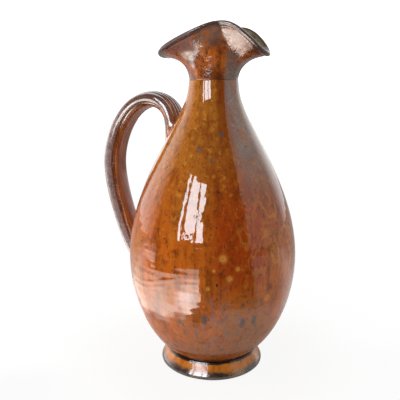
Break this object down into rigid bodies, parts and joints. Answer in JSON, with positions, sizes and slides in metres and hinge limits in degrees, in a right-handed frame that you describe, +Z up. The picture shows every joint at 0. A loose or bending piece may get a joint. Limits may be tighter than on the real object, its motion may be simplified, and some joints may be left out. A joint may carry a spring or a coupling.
{
  "type": "earthenware pitcher",
  "caption": "Glazed earthenware pitcher with a tear-shaped turned body on a splayed foot, a pinched trefoil mouth with a pouring lip and a reeded strap handle.",
  "frame": {"origin": "centre of the foot's flat underside, on the axis of the turned body", "axes": "+Z up along the turned body's axis, +X towards the pouring lip, the handle on -X"},
  "size_m": [0.1705, 0.137, 0.2756],
  "materials": {
    "amber_glaze": "glossy honey-amber lead-type glaze with darker streaks and specks",
    "lip_glaze": "glossy red-brown glaze, thin and dark along the rim",
    "handle_glaze": "glossy dark brown glaze, broken to plum on the reeds",
    "foot_glaze": "amber glaze running to a dark edge, bare clay underneath"
  },
  "bodies": {
    "root": {"foot": "foot_glaze", "belly": "amber_glaze", "mouth_collar": "lip_glaze", "handle_upper_root": "handle_glaze", "handle_strap": "handle_glaze", "handle_lower_root": "handle_glaze"}
  },
  "joints": []
}
